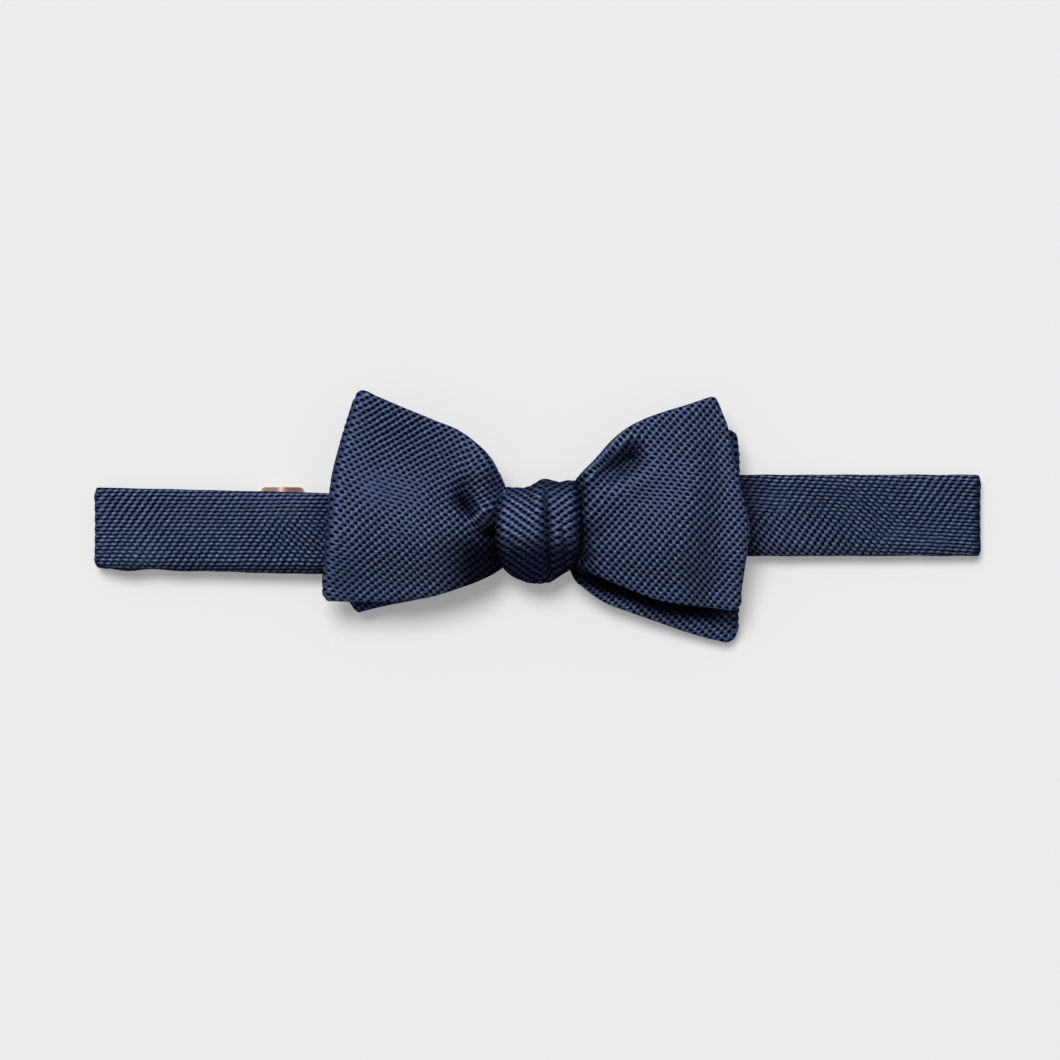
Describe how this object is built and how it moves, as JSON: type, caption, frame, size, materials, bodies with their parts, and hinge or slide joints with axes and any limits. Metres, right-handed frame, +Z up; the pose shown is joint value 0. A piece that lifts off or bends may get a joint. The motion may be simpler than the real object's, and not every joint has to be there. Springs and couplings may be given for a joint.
{
  "type": "bow tie",
  "caption": "Tied butterfly bow tie of woven silk with doubled wings, a wrapped knot and an adjustable neck band that closes behind with a slider, hook and eye.",
  "frame": {"origin": "middle of the whole tie's length and height in plan, on the surface it lies on", "axes": "+X to the right along the band seen from above, +Y towards the wings' upper corners, +Z up out of the front of the bow"},
  "size_m": [0.2399, 0.0672, 0.0226],
  "materials": {
    "silk": "open gauze-like weave, soft sheen",
    "strap_silk": "same cloth, narrow",
    "interlining": "matt brushed wool and cotton",
    "thread": "polyester sewing thread",
    "hardware": "polished copper-coloured plating"
  },
  "bodies": {
    "bow_and_front_band": {"back_left_end_back": "silk", "back_left_end_face": "silk", "back_left_end_interlining": "interlining", "back_right_loop_back": "silk", "back_right_loop_face": "silk", "back_right_loop_interlining": "interlining", "front_left_loop_back": "silk", "front_left_loop_face": "silk", "front_left_loop_interlining": "interlining", "front_right_end_back": "silk", "front_right_end_face": "silk", "front_right_end_interlining": "interlining", "half_knot": "silk", "knot_wrap_back": "silk", "knot_wrap_face": "silk", "knot_wrap_interlining": "interlining", "left_band_back": "silk", "left_band_face": "silk", "left_band_interlining": "interlining", "left_fold_back": "silk", "left_fold_face": "silk", "left_fold_interlining": "interlining", "right_band_back": "silk", "right_band_face": "silk", "right_band_interlining": "interlining", "right_fold_back": "silk", "right_fold_face": "silk", "right_fold_interlining": "interlining"},
    "left_back_band": {"left_band_end_back": "silk", "left_band_end_face": "silk", "left_band_end_interlining": "interlining", "adjuster_strap": "strap_silk", "strap_stitches": "thread", "strap_tail": "strap_silk"},
    "right_back_band": {"right_return_back": "silk", "right_return_face": "silk", "right_return_interlining": "interlining", "eye_tab": "strap_silk", "eye_stitches": "thread"},
    "slider": {"slider_frame": "hardware", "tail_wrap": "strap_silk", "tail_stitches": "thread"},
    "hook": {"hook": "hardware"},
    "eye": {"eye_ring": "hardware"}
  },
  "joints": [
    {"name": "left_band_unfold", "type": "hinge", "parent": "bow_and_front_band", "child": "left_back_band", "pos_m": [-0.1165, -0.0029, 0.0039], "axis": [0.012, 0.9999, 0], "range_deg": [0, 180], "deforming": ["left_fold_back", "left_fold_face", "left_fold_interlining"]},
    {"name": "right_band_unfold", "type": "hinge", "parent": "bow_and_front_band", "child": "right_back_band", "pos_m": [0.1174, 0.00055, 0.0025], "axis": [0.0121, -0.9999, 0], "range_deg": [0, 180], "deforming": ["right_fold_back", "right_fold_face", "right_fold_interlining"]},
    {"name": "slider_travel", "type": "slide", "parent": "left_back_band", "child": "slider", "axis": [1, 0, 0], "range_m": [-0.03, 0.003], "deforming": ["strap_tail"]},
    {"name": "hook_pivot", "type": "hinge", "parent": "left_back_band", "child": "hook", "pos_m": [-0.05, -0.0032, 0.0021], "axis": [0, 1, 0], "range_deg": [-2, 12]},
    {"name": "eye_pivot", "type": "hinge", "parent": "right_back_band", "child": "eye", "pos_m": [-0.032, -0.0032, 0.0021], "axis": [0, -1, 0], "range_deg": [-1.6, 9.6]}
  ],
  "couplings": [
    {"joint": "eye_pivot", "follows": "hook_pivot", "ratio": 0.8}
  ]
}
